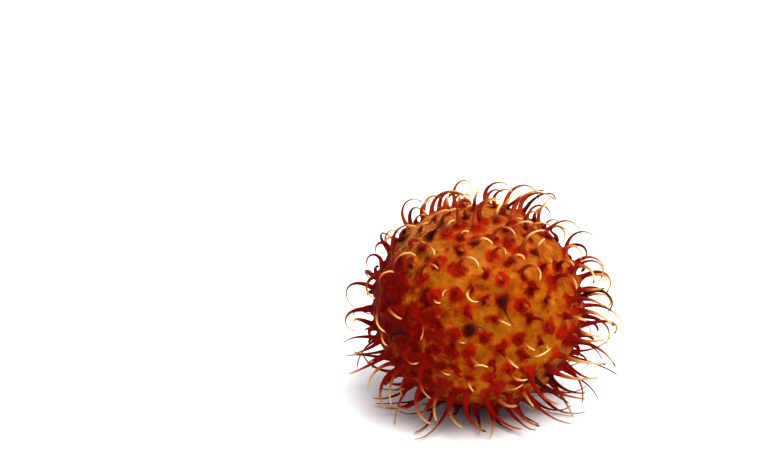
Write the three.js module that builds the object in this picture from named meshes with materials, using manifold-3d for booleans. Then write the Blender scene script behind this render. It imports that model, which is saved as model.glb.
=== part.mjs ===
// A rambutan as picked, lying on its side: an egg-shaped leathery rind that carries soft curling spines.
// Millimetres, +Z up. The origin is the centre of the small flat spot that the fruit rests on, under the
// middle of the fruit. +Y runs along its long axis, from the blossom end to the stalk scar.
// Rind, spines, stalk scar and the undeveloped twin beside it grew as one piece, so they are one solid.

import * as THREE from "three";
import { mergeVertices } from "three/addons/utils/BufferGeometryUtils.js";
import Module from "manifold-3d";

// The rind.
const RIND_WIDTH = 40; // along X
const RIND_LENGTH = 47; // along Y
const RIND_HEIGHT = 38; // along Z
const REST_GAP = 1; // from the rind's lowest point to the surface, filled by a crushed spine root
const EGG_TAPER = 0.05; // how much wider the rind is towards the stalk, as a share
const LUMP = 0.011; // height of the rind's gentle waves, as a share of its radius

// The spines.
const SPIRAL_SPACES = 290; // places on the spiral that spines grow from
const SCATTER = 0.06; // how far a spine strays from its place, in radians
const ROOT_SPACING = 0.165; // radians: roots that are closer are pushed apart
const PUSH_ROUNDS = 6; // how many times they are
const PLACED_ROOM = 0.17; // radians round a placed root that the spiral leaves to it
const SPINE_LENGTH = [8.5, 12.5]; // shortest and longest
const SHORT_SHARE = 0.33; // share of the spiral's spines that stayed short or broke off
const SHORT_LENGTH = [0.25, 0.6]; // their length, as a share of a whole spine's
const ROOT_RADIUS = 0.62;
const TIP_RADIUS = 0.14;
const TAPER = 2.1; // how much sooner a spine thins than a straight cone, whose taper is 1
const STOUT = [0.9, 1.3]; // how much thicker the slightest and the stoutest spines of the spiral are
const MOUND_RADIUS = 0.9; // how much the mound under a spine adds to its root's radius
const RIND_CLEARANCE = 0.9; // a curled spine stays this far from the rind
const SURFACE_CLEARANCE = 0.4; // the low spines lie this far over the surface

// How a spine of the spiral bends. Directions mix with the rind's normal, which has length 1.
const START_RISE = 0.4; // how far its start leans up
const START_STRAY = 0.8; // how far its start leans anywhere
const SIDEWAYS_PULL = 0.8; // how far it bends over to +X
const DOWN_PULL = 0.5;
const UNDER_PULL = 1.6; // how far it bends outwards instead, under the fruit
const UNDER_SLOPE = [0.45, 0.85]; // how far down the normal points where the underside begins and is full
const CURL_SLOPE = [-0.7, 0.7]; // how far up the normal points where the curl is least and most
const LEAST_CURL = 75; // degrees
const MOST_CURL = 240;
const CURL_VARIES = [0.6, 1.25]; // smallest and largest share of that curl
const CURL_SHARPNESS = [1.2, 2.4]; // how much the curl gathers at the tip; 1 is an even curl
const TWIST = 0.9; // how far it may turn out of the plane that it curls in

// The three spines whose tips stand on the surface round the flat spot, and keep the fruit steady.
const FOOT_TURNS = [100, 220, 340]; // degrees about +Z from +X
const FOOT_TILT = THREE.MathUtils.degToRad(48); // from straight down to the root
const FOOT_REACH = 20; // from the flat spot's middle to the tip
const FOOT_SPRING = 5; // how far the root's direction carries on before the spine bends down

// The flat spot, the stalk scar and the undeveloped twin.
const REST_SPOT_RADIUS = 2.2;
const REST_ROOT_RADIUS = 2.9;
const REST_ROOT_HEIGHT = 2.6; // most of it lies inside the rind
const SCAR_RADIUS = 2.3;
const SCAR_SPREAD = 1.25; // how much wider the scar is where it meets the rind
const SCAR_HEIGHT = 1.3;
const SCAR_SUNK = 2; // how deep it goes into the rind
const TWIN_RADIUS = 2.25;
const TWIN_TILT = THREE.MathUtils.degToRad(14); // from the scar, towards +Z
const BARE_SCAR = THREE.MathUtils.degToRad(14); // no spines within this of the scar
const BARE_TWIN = THREE.MathUtils.degToRad(13);
const BARE_REST = 0.12; // radians round the flat spot's middle

// How finely the curves are followed.
const PATH_STEPS = 26;
const SOFTEN_ROUNDS = 8; // how many times sharp bends are rounded
const SECTION_STEPS = [0, 8, 17, 26]; // the path's points that carry a section
const SPINE_SIDES = 3;
const RIND_SEGMENTS = [22, 14];
const REST_SEGMENTS = 16;
const SCAR_SEGMENTS = 14;
const TWIN_SEGMENTS = [10, 7];
const WELD = 1e-4; // points closer than this are one

// The spines whose places matter most, on the side of the blossom end. They are laid out as an eye sees them
// from SIGHT_ELEVATION above that end: the root, the tip, and how far the middle bows to the left on the way
// from root to tip, all across and up from the rind's middle. Each group also has the height that its spines
// arch over the rind, and how much thicker they are.
const SIGHT_ELEVATION = THREE.MathUtils.degToRad(17);
const SIGHT_DISTANCE = 330;
const NEAREST = -3.5; // how much nearer to the eye than its root a placed spine may bend
const FURTHEST = 1.5; // how much further
const ARCH_SPAN = 0.8; // the arch comes down again by the tip: share of a whole arch that a spine follows
const TIP_LEAN = [1, 4]; // how far a placed spine's tip leans from that arch towards the eye
const FULL_LEAN = 6; // a spine that reaches less far than this leans less
const PLACED_SPINES = {
  top: { arch: 3.5, stout: 1.1, rows: [
    [-12.4, 15.4, -9.6, 17.4, 1.2],
    [-8.2, 16.6, -5, 18.4, 1],
    [-3, 16.6, -1.2, 19.6, 0.8],
    [-13.7, 16.2, -10.8, 19.9, 3.1],
    [-10.3, 17, -1.3, 20.6, 3.4],
    [-6, 17.6, -5.8, 22, 0.2],
    [-4.5, 16, -3.6, 21.6, 0.3],
    [-0.9, 18.4, 0.3, 23.3, 0.4],
    [0, 15.4, 4.6, 20.6, 2.8],
    [2, 16.8, 3.8, 20.4, 2.2],
    [1.9, 19.3, 5.8, 23.6, 2.6],
    [4, 18.6, 6.7, 22.3, 2.4],
    [5.6, 17.4, 7.7, 22.3, 1],
    [7, 18.4, 8.5, 22, 0.3],
    [8.4, 16, 12.8, 22.6, 2.7],
    [9.9, 17, 14.8, 20.8, 3.3],
    [11.2, 14.6, 14.6, 21.5, 1.5],
    [12.4, 16.2, 13.4, 19.9, 1.7],
    [13.4, 13.6, 15.7, 16.6, 2.1],
    [15.6, 12.6, 17, 15, 2.6],
  ] },
  shoulder: { arch: 3, stout: 1.1, rows: [
    [-11.4, 14.3, -9.2, 16, 0.8],
    [-6.2, 15.3, -4.4, 16.6, 0.6],
    [-13.6, 14.4, -12.6, 15.3, 0.3],
    [-10.4, 12.6, -7.7, 9, 0.7],
    [-13.2, 12.2, -9.1, 10.6, 0.8],
    [-3.8, 14, -1.6, 14.4, 0.5],
    [-0.2, 13, 2.9, 12.1, 0.8],
    [3.3, 13.3, 7.2, 14, 1.9],
    [6.2, 13.4, 10.6, 16.3, 1.6],
    [9.8, 13.4, 14, 15.8, 1.8],
    [8, 11.6, 13, 14.9, 1.2],
    [10.9, 10.4, 12.9, 13.3, 0.3],
    [16.4, 12, 22.4, 13.9, 2],
    [16.4, 10, 19.9, 9.3, 2.4],
    [15.9, 8, 18.6, 8.2, 1.1],
    [14.2, 5.8, 19.2, 3.6, 2],
    [12.9, 7.6, 14.4, 8.9, 0.3],
  ] },
  left: { arch: 2.5, stout: 1.2, rows: [
    [-15, 13, -17.9, 12.3, -0.9],
    [-16.8, 10.6, -19.7, 10, -2.1],
    [-18.2, 8.2, -21.3, 7.4, -2.3],
    [-18.4, 5.6, -19.8, 1.2, -2.5],
    [-18.6, -0.3, -17.7, -5.3, -1.4],
    [-18, -5, -16.9, -8.1, -1],
    [-17.6, -7.2, -23.8, -9.5, 0.3],
    [-16.8, -8.8, -24.6, -13.5, 0.4],
    [-15.6, -10.4, -20.9, -16.2, -1.5],
    [-14.9, -12.2, -17.4, -20.2, -2.3],
    [-13, -11.4, -16.3, -19.3, -1.8],
    [-11.6, -13.4, -14.2, -18.1, -1.4],
    [-9.9, -11.6, -8.7, -18, -1.5],
  ] },
  low: { arch: 2, stout: 1.4, rows: [
    [-9.4, -14.6, -8.5, -22.9, -2.8],
    [-8, -17, -10.9, -21.6, 0.3],
    [-6.6, -15.4, -7.5, -22.3, -1],
    [-4.4, -16.8, -2.5, -23.4, -1.7],
    [-1.4, -16.2, 2.1, -24.2, -2.1],
    [1.8, -17, 8.9, -23.5, -1.7],
    [4, -15.4, 8.4, -18.8, -1.9],
    [6.6, -16.4, 12.4, -22.9, -1.4],
    [8.6, -14.4, 11.2, -19.2, -0.3],
    [10.2, -12.4, 15.8, -18.6, -1.3],
    [14.6, -11, 22.8, -13.4, -1.2],
  ] },
  right: { arch: 2.5, stout: 1.3, rows: [
    [17.6, 6.6, 22.4, 4.7, 2.6],
    [18.4, 3.6, 24.6, 3.9, -0.2],
    [17.6, 1.4, 25, 0.1, 1],
    [18.8, -0.9, 26.5, -3.5, 1.2],
    [16.9, -1.4, 21.3, -2.5, 0.2],
    [18.6, -3.6, 24, -5.4, -0.4],
    [16.9, -5.2, 24.8, -5.9, -0.9],
    [16.6, -7.6, 26.9, -11.3, 2.2],
    [15.4, -9.6, 25.2, -10.7, -0.4],
  ] },
  face: { arch: 2.6, stout: 1, rows: [
    [-13.3, 8.4, -12.2, 7.4, 0.4],
    [-11.2, 5.4, -7.4, 6.6, 2.2],
    [-8, 9, -7.2, 8, 0.2],
    [-4, 7.6, 0.3, 7.7, 2],
    [-3.6, 11.4, -2.9, 10.6, 0.2],
    [1.8, 6.5, 0.9, 7.6, -0.2],
    [3.7, 10, 5.4, 10, 1.6],
    [6.5, 9.3, 9.2, 8.8, 1.3],
    [5.1, 5.4, 4.2, 5.8, 0.1],
    [8.2, 6.4, 11.9, 5, 2.7],
    [10.7, 3.6, 12, 3.5, 0.2],
    [13.7, 1.6, 14.2, 0.5, 0.2],
    [9, 0.6, 9.8, 0.1, 0.1],
    [1.4, 1.6, 2.3, 0.5, 0.2],
    [-1.2, 4, 0.3, 0.9, -1.5],
    [-4.2, 2.4, -6.7, 1.8, -1.2],
    [-8.6, 1.9, -7, 0.6, -0.6],
    [-8.7, -1.6, -7, -2.2, -0.2],
    [-2.3, -1, -0.9, -2.6, 0.2],
    [3.4, -2.2, 6.5, -3.6, 0.1],
    [10.6, -2, 12.8, -2.5, 0.2],
    [14.4, -4.2, 13.6, -2.9, 0.2],
    [-13, -1.4, -10.8, -6.7, 1.4],
    [-12.8, -8.2, -11.2, -11.1, -1.9],
    [-8.4, -5.8, -7.2, -6.6, 0.2],
    [-4.6, -5.6, -1.8, -7, -0.7],
    [2, -5.7, 3.9, -7.1, -0.6],
    [-5.2, -9.2, -5, -10.9, 0.2],
    [-1.5, -8.7, 0.5, -11, -0.6],
    [5, -8.2, 8.2, -11.8, -0.4],
    [8.8, -5.8, 11.3, -8.3, -0.4],
    [9.4, -9.6, 14.3, -7.8, -0.8],
    [12.9, -6.6, 13.8, -7.9, 0.2],
    [-8, -12, -4.5, -13.3, -0.5],
    [-4.2, -12.4, -2.7, -13.7, -0.4],
    [-0.8, -12.2, 2.6, -11.9, 0.6],
    [2.9, -11.2, 3.4, -12.9, 0.6],
    [2.6, -14.2, 9.1, -14.9, -1.6],
    [6.4, -12.2, 10, -13.9, -1],
    [-1.4, -14.6, -0.4, -16.4, -0.3],
  ] },
  dried: { arch: 2.5, stout: 1.1, rows: [
    [-8.6, 14, -6, 15.4, 0.6],
    [5.3, 1.8, 7.2, -3.6, -0.6],
    [-1.7, -4.7, 1.8, -5, 1],
    [-14.8, 12.9, -12.5, 10.7, -0.7],
    [11.6, -13.4, 17.9, -18.3, -0.3],
    [14.4, -12.2, 19, -16.1, -1.1],
  ] },
  ridge: { arch: 3.2, stout: 1.2, rows: [
    [3.2, 16.6, 4.8, 20.2, 0.5],
    [8.8, 15.8, 11.5, 18.2, 1.5],
    [10.8, 16.6, 13.2, 19.6, 1],
    [-6.6, 15.6, -3.2, 18.8, 1.4],
    [-11, 16.6, -9.2, 20.4, 1.2],
    [5.6, 14.6, 8.6, 17, 1.2],
  ] },
};

const GOLDEN_ANGLE = Math.PI * (3 - Math.sqrt(5));
const UP = new THREE.Vector3(0, 0, 1);
const DOWN = new THREE.Vector3(0, 0, -1);
const STALK = new THREE.Vector3(0, 1, 0);
const TWIN = new THREE.Vector3(0, Math.cos(TWIN_TILT), Math.sin(TWIN_TILT));
const RIND_CENTRE = new THREE.Vector3(0, 0, REST_GAP + RIND_HEIGHT / 2);
const HALF = new THREE.Vector3(RIND_WIDTH / 2, RIND_LENGTH / 2, RIND_HEIGHT / 2);
const SIGHT_UP = new THREE.Vector3(0, Math.sin(SIGHT_ELEVATION), Math.cos(SIGHT_ELEVATION));
const EYE = new THREE.Vector3(0, -Math.cos(SIGHT_ELEVATION), Math.sin(SIGHT_ELEVATION))
  .multiplyScalar(SIGHT_DISTANCE)
  .add(RIND_CENTRE);

const wasm = await Module();
wasm.setup();

// A number from 0 to 1 that is always the same for one spine and one purpose.
function chance(spine, purpose) {
  const wave = Math.sin(spine * 127.1 + purpose * 311.7 + 74.7) * 43758.5453;
  return wave - Math.floor(wave);
}

// A small vector that is always the same for one spine, from three purposes.
function stray(spine, purpose) {
  return new THREE.Vector3(chance(spine, purpose), chance(spine, purpose + 1), chance(spine, purpose + 2))
    .subScalar(0.5);
}

function between(low, high, share) {
  return low + (high - low) * share;
}

function smooth(low, high, value) {
  const share = THREE.MathUtils.clamp((value - low) / (high - low), 0, 1);
  return share * share * (3 - 2 * share);
}

// The rind's surface in a direction from its centre.
function rindPoint(d) {
  const taper = 1 + EGG_TAPER * d.y;
  const waves =
    Math.sin(3.1 * d.x + 1.7 * d.y + 0.6) +
    Math.sin(3.7 * d.y - 2.3 * d.z + 2.1) +
    Math.sin(4.1 * d.z + 2.9 * d.x + 4.4);
  const swell = 1 + (LUMP * waves) / 2;
  return new THREE.Vector3(HALF.x * d.x * taper, HALF.y * d.y, HALF.z * d.z * taper)
    .multiplyScalar(swell)
    .add(RIND_CENTRE);
}

function rindNormal(d) {
  return d.clone().divide(HALF).normalize();
}

// The direction from the eye to a place in the front view.
function sightRay(across, up) {
  return RIND_CENTRE.clone()
    .add(new THREE.Vector3(across, 0, 0))
    .addScaledVector(SIGHT_UP, up)
    .sub(EYE)
    .normalize();
}

// How far from the eye a ray meets the rind grown by a height, or passes nearest to its centre.
function sightDepth(ray, height) {
  const grown = HALF.clone().addScalar(height);
  const start = EYE.clone().sub(RIND_CENTRE).divide(grown);
  const way = ray.clone().divide(grown);
  const along = start.dot(way);
  const square = way.lengthSq();
  const inside = along * along - square * (start.lengthSq() - 1);
  return (-along - Math.sqrt(Math.max(inside, 0))) / square;
}

// The direction from the rind's centre to a placed spine's root.
function rootDirection(row) {
  const ray = sightRay(row[0], row[1]);
  return EYE.clone().addScaledVector(ray, sightDepth(ray, 0)).sub(RIND_CENTRE).divide(HALF).normalize();
}

// A spiral of places along the fruit, a little scattered.
function spiralDirections() {
  const directions = [];
  for (let i = 0; i < SPIRAL_SPACES; i++) {
    const y = 1 - (2 * i + 1) / SPIRAL_SPACES;
    const ring = Math.sqrt(1 - y * y);
    const turn = i * GOLDEN_ANGLE;
    const direction = new THREE.Vector3(ring * Math.cos(turn), y, ring * Math.sin(turn));
    directions.push(direction.addScaledVector(stray(i, 1), 2 * SCATTER).normalize());
  }
  return directions;
}

// Where a foot's tip points from the flat spot's middle.
function footWay(turn) {
  const angle = THREE.MathUtils.degToRad(turn);
  return new THREE.Vector3(Math.cos(angle), Math.sin(angle), 0);
}

// Where the three spines that stand on the surface grow.
function footDirections() {
  return FOOT_TURNS.map((turn) =>
    footWay(turn).multiplyScalar(Math.sin(FOOT_TILT)).addScaledVector(DOWN, Math.cos(FOOT_TILT)),
  );
}

// Each placed spine with its arch and its stoutness.
function placedRows() {
  return Object.values(PLACED_SPINES).flatMap(({ rows, ...group }) => rows.map((row) => ({ row, ...group })));
}

// Where the spines grow: the placed roots, then the spiral between them, bare at the stalk, then the feet.
function spineDirections() {
  const placed = placedRows().map(({ row }) => rootDirection(row));
  const spiral = spiralDirections().filter(
    (direction) =>
      direction.angleTo(STALK) >= BARE_SCAR &&
      direction.angleTo(TWIN) >= BARE_TWIN &&
      direction.angleTo(DOWN) >= BARE_REST &&
      placed.every((other) => direction.angleTo(other) > PLACED_ROOM),
  );
  return pushApart([...placed, ...spiral, ...footDirections()]);
}

function pushApart(directions) {
  for (let round = 0; round < PUSH_ROUNDS; round++) {
    for (let i = 0; i < directions.length; i++) {
      for (let j = 0; j < i; j++) {
        const gap = directions[i].clone().sub(directions[j]);
        const distance = gap.length();
        if (distance < ROOT_SPACING) {
          gap.multiplyScalar((ROOT_SPACING - distance) / (2 * distance));
          directions[i].add(gap).normalize();
          directions[j].sub(gap).normalize();
        }
      }
    }
  }
  return directions;
}

function spineRadius(t) {
  return TIP_RADIUS + (ROOT_RADIUS - TIP_RADIUS) * (1 - t) ** TAPER;
}

// A curled spine stays off the rind, and a low one off the surface.
function keepClear(point, t, length) {
  const fromCentre = point.clone().sub(RIND_CENTRE);
  const depth = fromCentre.clone().divide(HALF).length();
  const wanted = 1 + Math.min(RIND_CLEARANCE, 0.5 * t * length) / HALF.z;
  if (depth < wanted) {
    point.copy(RIND_CENTRE).addScaledVector(fromCentre, wanted / depth);
  }
  point.z = Math.max(point.z, SURFACE_CLEARANCE + spineRadius(t));
  return point;
}

// The same line with PATH_STEPS steps of one length, and that whole length.
function evenSteps(points) {
  const curve = new THREE.CurvePath();
  for (let k = 1; k < points.length; k++) {
    curve.add(new THREE.LineCurve3(points[k - 1], points[k]));
  }
  const line = [];
  for (let step = 0; step <= PATH_STEPS; step++) {
    line.push(curve.getPoint(step / PATH_STEPS));
  }
  return { line, length: curve.getLength() };
}

// The same line with its sharp bends rounded.
function softened(points) {
  let line = points;
  for (let round = 0; round < SOFTEN_ROUNDS; round++) {
    line = line.map((point, k) =>
      k === 0 || k === PATH_STEPS
        ? point
        : point.clone().multiplyScalar(2).add(line[k - 1]).add(line[k + 1]).divideScalar(4),
    );
  }
  return line;
}

// The directions from the eye along a placed spine's arc in the front view.
function arcRays([rootAcross, rootUp, tipAcross, tipUp, bow]) {
  const root = new THREE.Vector2(rootAcross, rootUp);
  const chord = new THREE.Vector2(tipAcross, tipUp).sub(root);
  const halfTurn = 2 * Math.atan((2 * bow) / chord.length());
  const radius = chord.length() / (2 * Math.sin(halfTurn));
  chord.normalize();
  const rays = [];
  for (let step = 0; step <= PATH_STEPS; step++) {
    const turned = halfTurn * (1 - (2 * step) / PATH_STEPS);
    const ahead = radius * (Math.sin(halfTurn) - Math.sin(turned));
    const left = radius * (Math.cos(turned) - Math.cos(halfTurn));
    const across = root.x + chord.x * ahead - chord.y * left;
    rays.push(sightRay(across, root.y + chord.y * ahead + chord.x * left));
  }
  return rays;
}

// The middle line of a placed spine: an arc in the front view that arches over the rind.
function placedPath(i, { row, arch }, direction) {
  const rays = arcRays(row);
  const rootDepth = sightDepth(rays[0], 0);
  const depthBeyondRoot = (step) => {
    const ray = rays[step];
    const arched = sightDepth(ray, arch * Math.sin((ARCH_SPAN * Math.PI * step) / PATH_STEPS));
    const onSurface = (SURFACE_CLEARANCE + TIP_RADIUS - EYE.z) / ray.z;
    return Math.min(Math.max(arched - rootDepth, NEAREST), FURTHEST, onSurface - rootDepth);
  };
  const middle = depthBeyondRoot(PATH_STEPS / 2);
  const tip = depthBeyondRoot(PATH_STEPS);
  const reach = Math.hypot(row[2] - row[0], row[3] - row[1]);
  const lean = between(...TIP_LEAN, chance(i, 20)) * Math.min(reach / FULL_LEAN, 1);
  const points = rays.map((ray, k) => {
    const share = k / PATH_STEPS;
    const beyond = share * (4 * middle - tip) + share ** 2 * (2 * tip - 4 * middle - lean);
    return EYE.clone().addScaledVector(ray, rootDepth + beyond);
  });
  const shift = rindPoint(direction).sub(points[0]);
  points.forEach((point, k) => point.addScaledVector(shift, (1 - k / PATH_STEPS) ** 2));
  const { line, length } = evenSteps(points);
  return softened(line.map((point, k) => keepClear(point, k / PATH_STEPS, length)));
}

// How long a spine of the spiral grew.
function grownLength(i) {
  const whole = between(...SPINE_LENGTH, chance(i, 10));
  return chance(i, 11) < SHORT_SHARE ? whole * between(...SHORT_LENGTH, chance(i, 12)) : whole;
}

// The middle line of a spine of the spiral: it rises a little, then bends over to +X and down.
function grownPath(i, direction) {
  const normal = rindNormal(direction);
  const start = normal
    .clone()
    .addScaledVector(UP.clone().addScaledVector(normal, -normal.z), START_RISE)
    .addScaledVector(stray(i, 4), START_STRAY)
    .normalize();
  const under = smooth(...UNDER_SLOPE, -normal.z);
  const pull = new THREE.Vector3(SIDEWAYS_PULL, 0, -DOWN_PULL)
    .multiplyScalar(1 - under)
    .addScaledVector(new THREE.Vector3(normal.x, normal.y, 0).normalize(), UNDER_PULL * under)
    .add(stray(i, 7));
  const way = pull.addScaledVector(start, -pull.dot(start)).normalize();
  const side = start.clone().cross(way).multiplyScalar(TWIST * (chance(i, 19) - 0.5));
  const degrees = between(LEAST_CURL, MOST_CURL, smooth(...CURL_SLOPE, normal.z));
  const curl = THREE.MathUtils.degToRad(degrees * between(...CURL_VARIES, chance(i, 13)));
  const sharpness = between(...CURL_SHARPNESS, chance(i, 14));
  const length = grownLength(i);
  const points = [rindPoint(direction)];
  for (let step = 0; step < PATH_STEPS; step++) {
    const t = (step + 0.5) / PATH_STEPS;
    const angle = curl * t ** sharpness;
    const heading = start
      .clone()
      .multiplyScalar(Math.cos(angle))
      .addScaledVector(way, Math.sin(angle))
      .addScaledVector(side, t)
      .normalize();
    points.push(keepClear(points[step].clone().addScaledVector(heading, length / PATH_STEPS), t, length));
  }
  return softened(points);
}

// The middle line of a spine that stands on the surface: out from the rind, then down to its tip.
function footPath(turn, direction) {
  const root = rindPoint(direction);
  const spring = root.clone().addScaledVector(rindNormal(direction), FOOT_SPRING);
  const tip = footWay(turn).multiplyScalar(FOOT_REACH);
  const curve = new THREE.QuadraticBezierCurve3(root, spring, tip);
  return evenSteps(curve.getPoints(PATH_STEPS)).line;
}

// A closed geometry as a solid that can be joined.
function solidOf(geometry) {
  const bare = geometry.clone();
  bare.deleteAttribute("normal");
  bare.deleteAttribute("uv");
  const merged = mergeVertices(bare, WELD);
  const mesh = new wasm.Mesh({
    numProp: 3,
    vertProperties: merged.attributes.position.array,
    triVerts: new Uint32Array(merged.index.array),
  });
  return new wasm.Manifold(mesh);
}

// A cone whose rings are laid along the spine's middle line. Its first ring lies inside the rind.
function spineSolid(points, direction, stout) {
  const sections = SECTION_STEPS.length - 1;
  const cone = new THREE.ConeGeometry(1, 1, SPINE_SIDES, sections);
  const positions = cone.attributes.position;
  const root = points[0].clone().sub(rindNormal(direction));
  for (let v = 0; v < positions.count; v++) {
    const step = SECTION_STEPS[Math.round((positions.getY(v) + 0.5) * sections)];
    const across = new THREE.Vector3(positions.getX(v), 0, positions.getZ(v));
    const mound = step === 0 ? MOUND_RADIUS : 0;
    const radius = across.lengthSq() > 0 ? stout * spineRadius(step / PATH_STEPS) + mound : 0;
    const ahead = points[Math.min(step + 1, PATH_STEPS)];
    const behind = points[Math.max(step - 1, 0)];
    const heading = ahead.clone().sub(behind).normalize();
    const turn = new THREE.Quaternion().setFromUnitVectors(new THREE.Vector3(0, 1, 0), heading);
    across.normalize().multiplyScalar(radius).applyQuaternion(turn);
    const middle = step === 0 ? root : points[step];
    positions.setXYZ(v, middle.x + across.x, middle.y + across.y, middle.z + across.z);
  }
  return solidOf(cone);
}

function rindSolid() {
  const ball = new THREE.SphereGeometry(1, ...RIND_SEGMENTS);
  const positions = ball.attributes.position;
  for (let v = 0; v < positions.count; v++) {
    const direction = new THREE.Vector3().fromBufferAttribute(positions, v).normalize();
    positions.setXYZ(v, ...rindPoint(direction));
  }
  return solidOf(ball);
}

// The crushed root of the lowest spine, flat underneath.
function restSpot() {
  const height = REST_ROOT_HEIGHT;
  const root = new THREE.CylinderGeometry(REST_ROOT_RADIUS, REST_SPOT_RADIUS, height, REST_SEGMENTS);
  root.rotateX(Math.PI / 2).translate(0, 0, height / 2);
  return solidOf(root);
}

// The corky disc that the stalk broke from.
function stalkScar() {
  const height = SCAR_HEIGHT + SCAR_SUNK;
  const disc = new THREE.CylinderGeometry(SCAR_RADIUS, SCAR_RADIUS * SCAR_SPREAD, height, SCAR_SEGMENTS);
  disc.translate(...rindPoint(STALK).addScaledVector(STALK, (SCAR_HEIGHT - SCAR_SUNK) / 2));
  return solidOf(disc);
}

// The second seed chamber, which stayed a shrivelled knob beside the scar.
function twinKnob() {
  const knob = new THREE.SphereGeometry(TWIN_RADIUS, ...TWIN_SEGMENTS);
  knob.translate(...rindPoint(TWIN));
  return solidOf(knob);
}

function geometryOf(solid) {
  const mesh = solid.getMesh();
  const geometry = new THREE.BufferGeometry();
  geometry.setAttribute("position", new THREE.BufferAttribute(mesh.vertProperties, mesh.numProp));
  geometry.setIndex(new THREE.BufferAttribute(mesh.triVerts, 1));
  geometry.computeVertexNormals();
  return geometry;
}

// A spine by its number in the whole list: first the placed ones, then the spiral's, then the feet.
function spine(i, direction, firstFoot) {
  const placed = placedRows()[i];
  if (placed) {
    return spineSolid(placedPath(i, placed, direction), direction, placed.stout);
  }
  const stout = between(...STOUT, chance(i, 21));
  if (i < firstFoot) {
    return spineSolid(grownPath(i, direction), direction, stout);
  }
  return spineSolid(footPath(FOOT_TURNS[i - firstFoot], direction), direction, stout);
}

const directions = spineDirections();
const firstFoot = directions.length - FOOT_TURNS.length;
const spines = directions.map((direction, i) => spine(i, direction, firstFoot));
const fruit = wasm.Manifold.union([rindSolid(), restSpot(), stalkScar(), twinKnob(), ...spines]);

const material = new THREE.MeshStandardMaterial({ color: 0xa8460a, roughness: 0.5, metalness: 0 });
const rambutan = new THREE.Mesh(geometryOf(fruit), material);
rambutan.name = "rambutan";

const part = new THREE.Group();
part.add(rambutan);

export default part;
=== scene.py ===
"""A rambutan as picked, lying on its side on a pale floor.

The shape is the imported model's, with the same rind and middle lines of the spines, under one unbroken skin.
Lengths are millimetres until a mesh is made. +Z is up, and +Y runs from the blossom end to the stalk scar.
"""

from math import atan, atan2, cos, dist, exp, hypot, pi, radians, sin, sqrt, tau
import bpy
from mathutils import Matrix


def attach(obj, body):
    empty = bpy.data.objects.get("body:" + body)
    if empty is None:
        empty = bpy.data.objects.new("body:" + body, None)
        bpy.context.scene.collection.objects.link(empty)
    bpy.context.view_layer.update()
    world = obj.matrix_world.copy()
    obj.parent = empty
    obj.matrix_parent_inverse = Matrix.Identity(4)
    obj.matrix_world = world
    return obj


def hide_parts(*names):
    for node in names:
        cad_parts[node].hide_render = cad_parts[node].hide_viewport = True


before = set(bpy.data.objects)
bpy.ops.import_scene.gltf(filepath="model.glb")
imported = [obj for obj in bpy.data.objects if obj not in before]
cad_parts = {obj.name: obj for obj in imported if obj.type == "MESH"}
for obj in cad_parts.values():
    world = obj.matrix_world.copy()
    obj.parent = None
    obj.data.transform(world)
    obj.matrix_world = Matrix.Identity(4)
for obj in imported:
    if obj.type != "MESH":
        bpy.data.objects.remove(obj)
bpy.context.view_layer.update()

from types import SimpleNamespace

import bmesh
import bpy
from mathutils import Vector, noise

MM = 0.001

# From here to PLACED_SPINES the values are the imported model's. First, the rind.
RIND_WIDTH = 40.0
RIND_LENGTH = 47.0
RIND_HEIGHT = 38.0
REST_GAP = 1.0
EGG_TAPER = 0.05
LUMP = 0.011
LUMP_WAVES = ((3.1, 1.7, 0, 0.6), (0, 3.7, -2.3, 2.1), (2.9, 0, 4.1, 4.4))  # along X, Y and Z, and a start

# The spines.
SPIRAL_SPACES = 290
SCATTER = 0.06
ROOT_SPACING = 0.165  # radians: roots that are closer are pushed apart
PUSH_ROUNDS = 6
PLACED_ROOM = 0.17  # radians round a placed root that the spiral keeps free
SPINE_LENGTH = (8.5, 12.5)
SHORT_SHARE = 0.33  # of the spiral's spines stayed short or broke off
SHORT_LENGTH = (0.25, 0.6)
ROOT_RADIUS = 0.62
TIP_RADIUS = 0.14
TAPER = 2.1  # 1 is a straight cone, and above 1 a spine thins sooner
STOUT = (0.9, 1.3)  # the thickness of the spiral's spines, as a share of a plain one's
RIND_CLEARANCE = 0.9
CLEARANCE_GAIN = 0.5  # of clearance for each millimetre from the root
SURFACE_CLEARANCE = 0.4  # under the low spines

# How a spine of the spiral bends. Directions mix with the rind's normal, which has length 1.
START_RISE = 0.4  # how far its start leans up
START_STRAY = 0.8  # how far its start leans anywhere
SIDEWAYS_PULL = 0.8  # how far it bends over to +X
DOWN_PULL = 0.5
UNDER_PULL = 1.6  # how far it bends outwards instead, under the fruit
UNDER_SLOPE = (0.45, 0.85)  # how far down the normal points where the underside begins and is full
CURL_SLOPE = (-0.7, 0.7)  # how far up the normal points where the curl is least and most
LEAST_CURL = 75  # degrees
MOST_CURL = 240
CURL_VARIES = (0.6, 1.25)  # shares of that curl
CURL_SHARPNESS = (1.2, 2.4)  # how much the curl gathers at the tip; 1 is an even curl
TWIST = 0.9  # how far it turns out of the plane that it curls in

# The stalk scar, the undeveloped twin and the flat spot.
SCAR_RADIUS = 2.3
TWIN_RADIUS = 2.25
TWIN_TILT = radians(14)
BARE_SCAR = radians(14)
BARE_TWIN = radians(13)
BARE_REST = 0.12
REST_ROOT_RADIUS = 2.9

# The spines' middle lines.
PATH_STEPS = 26
SOFTEN_ROUNDS = 8

# The feet: three spines whose tips stand on the surface round the flat spot.
FOOT_TURNS = [radians(turn) for turn in (100, 220, 340)]  # about +Z from +X
FOOT_TILT = radians(48)  # from straight down to the root
FOOT_REACH = 20.0  # from the flat spot's middle to the tip
FOOT_SPRING = 5.0  # how far out of the rind the curve's control point lies

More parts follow.
